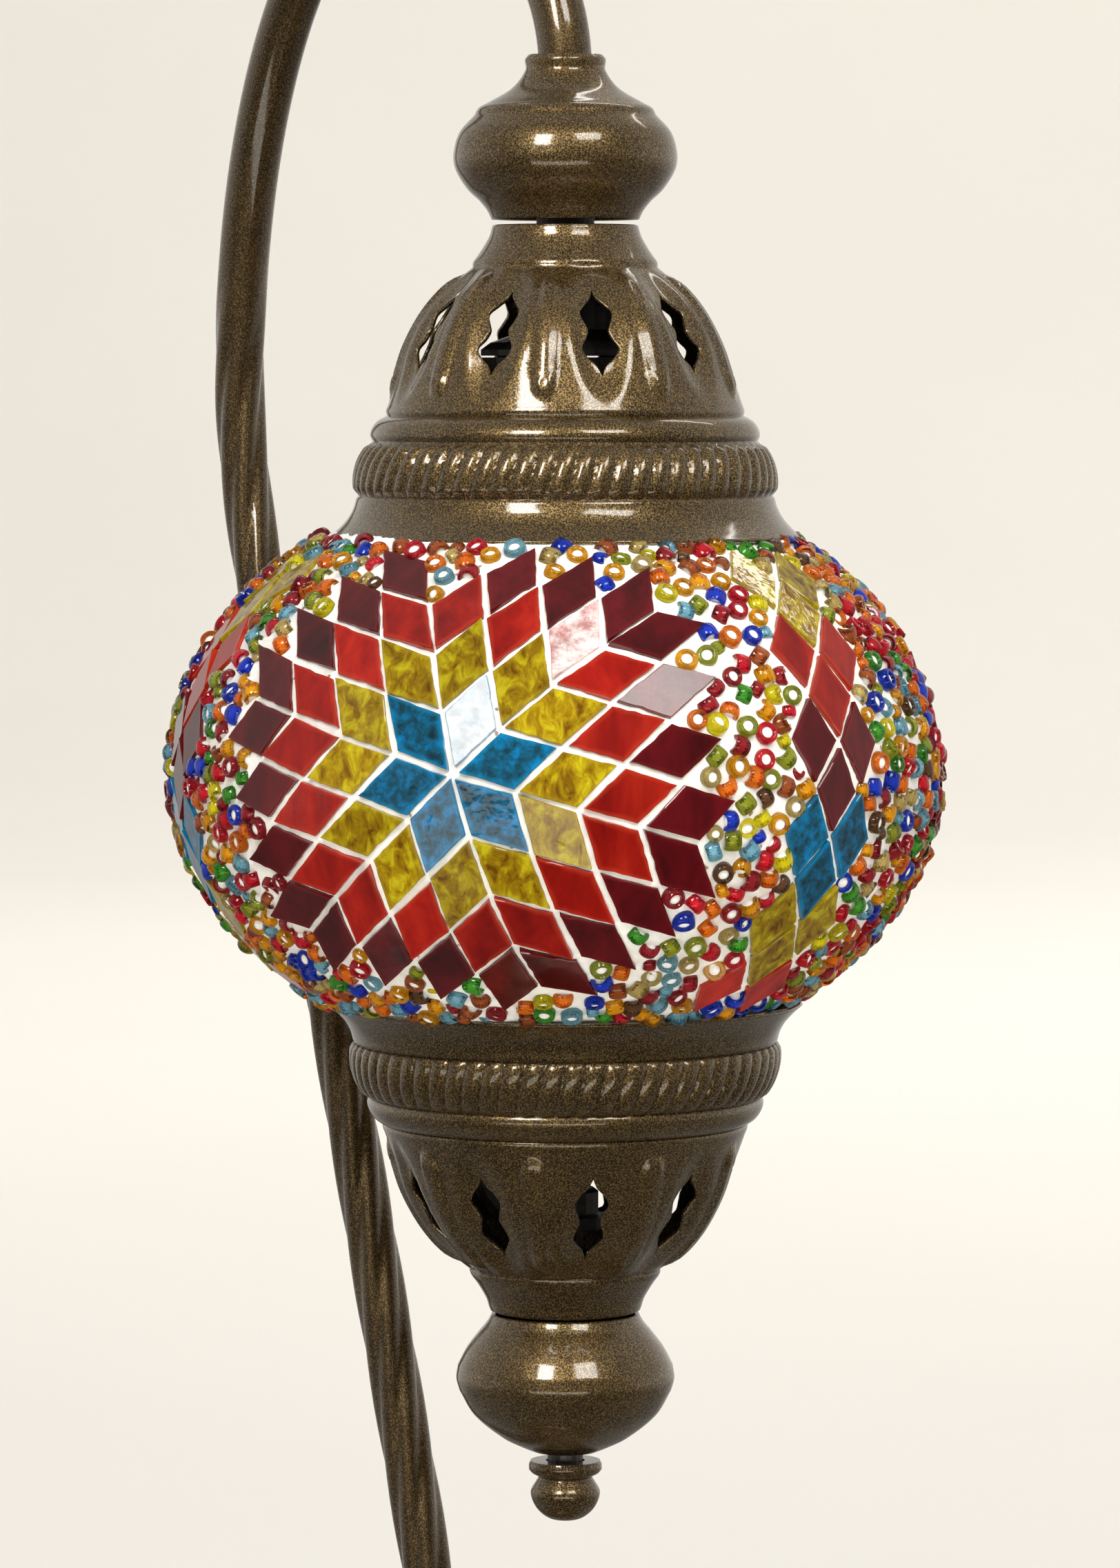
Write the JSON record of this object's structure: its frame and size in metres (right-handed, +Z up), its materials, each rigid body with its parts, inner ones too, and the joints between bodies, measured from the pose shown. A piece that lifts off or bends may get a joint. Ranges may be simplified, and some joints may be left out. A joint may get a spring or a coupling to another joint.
{
  "type": "mosaic glass table lamp",
  "caption": "Table lamp with a mosaic glass globe between pierced metal caps, hung from a swan-neck arm on a round weighted base.",
  "frame": {"origin": "middle of the felt underside of the base, on the base's upright axis", "axes": "+Z up; the arm lies in the XZ plane and bows out towards -X; the globe hangs in front, towards +X"},
  "size_m": [0.1643, 0.136, 0.4125],
  "materials": {
    "antique_bronze": "dark antique bronze lacquer with fine gold speckle, semi-gloss",
    "steel": "zinc plated",
    "cast_iron": "rough cast",
    "felt": "wool felt",
    "rubber": "matt",
    "black_plastic": "moulded",
    "white_plastic": "moulded",
    "brass": "plain",
    "clear_glass": "clear blown glass",
    "opal_glass": "opal",
    "grout": "fine white plaster grout",
    "blue_glass": "coloured sheet glass, glossy",
    "red_glass": "coloured sheet glass, glossy",
    "yellow_glass": "coloured sheet glass, mottled, glossy",
    "maroon_glass": "coloured sheet glass, glossy"
  },
  "bodies": {
    "stand": {"base_shell": "antique_bronze", "base_weight": "cast_iron", "base_felt": "felt", "cord_grommet": "rubber", "terminal_block": "white_plastic", "terminal_screw_1": "steel", "terminal_screw_2": "steel", "terminal_screw_3": "steel", "terminal_screw_4": "steel", "arm_foot_collar": "antique_bronze", "arm_foot_washer": "steel", "arm_foot_nut": "steel", "swan_neck_arm": "antique_bronze", "arm_lead": "black_plastic", "hanger_bell": "antique_bronze", "arm_tip_coupler": "steel", "hanger_nipple": "steel", "hanger_washer": "steel", "hanger_nut": "steel", "upper_cap": "antique_bronze", "harp": "steel", "finial_stud": "steel", "holder_dome": "black_plastic", "holder_body": "black_plastic", "holder_sleeve": "brass", "holder_contact": "brass", "glass_globe": "clear_glass", "grout_layer": "grout", "star_inlay_1": "red_glass", "star_inlay_2": "red_glass", "star_inlay_3": "red_glass", "band_inlay_1": "blue_glass", "band_inlay_2": "blue_glass", "band_inlay_3": "blue_glass"},
    "bulb": {"bulb_glass": "opal_glass", "bulb_cap": "steel", "bulb_insulator": "black_plastic", "bulb_contact": "brass"},
    "lower_cap": {"lower_cap": "antique_bronze"},
    "finial": {"finial_shell": "antique_bronze", "finial_nut": "antique_bronze"}
  },
  "joints": [
    {"name": "bulb_turn", "type": "hinge", "parent": "stand", "child": "bulb", "pos_m": [0.028, 0, 0.255], "axis": [0, 0, -1], "range_deg": [0, 1080]},
    {"name": "lower_cap_drop", "type": "slide", "parent": "stand", "child": "lower_cap", "axis": [0, 0, -1], "range_m": [0, 0.065]},
    {"name": "finial_turn", "type": "hinge", "parent": "lower_cap", "child": "finial", "pos_m": [0.028, 0, 0.1627], "axis": [0, 0, 1], "continuous": true}
  ]
}
